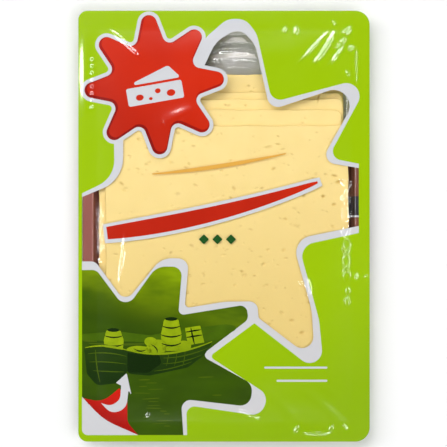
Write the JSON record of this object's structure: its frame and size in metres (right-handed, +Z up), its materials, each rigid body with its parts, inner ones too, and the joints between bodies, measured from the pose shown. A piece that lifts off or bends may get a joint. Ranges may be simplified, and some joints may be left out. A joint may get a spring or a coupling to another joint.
{
  "type": "pack of sliced cheese",
  "caption": "Sealed flat pack of shingled cheese slices: a clear thermoformed tray with a flange all round and a printed film lid with a see-through window.",
  "frame": {"origin": "middle of the underside of the pack as it lies, print up", "axes": "+X to the pack's right as its print is looked at, +Y to its top edge, +Z up out of the printed film"},
  "size_m": [0.142, 0.21, 0.0125],
  "materials": {
    "clear_tray": "clear thin thermoformed plastic, glossy",
    "printed_film": "glossy printed film, lime green with a clear window",
    "cheese": "moist smooth cheese with small eyes and slits"
  },
  "bodies": {
    "root": {"tray": "clear_tray", "lid_film": "printed_film", "cheese_slice_1": "cheese", "cheese_slice_2": "cheese", "cheese_slice_3": "cheese", "cheese_slice_4": "cheese", "cheese_slice_5": "cheese"}
  },
  "joints": []
}
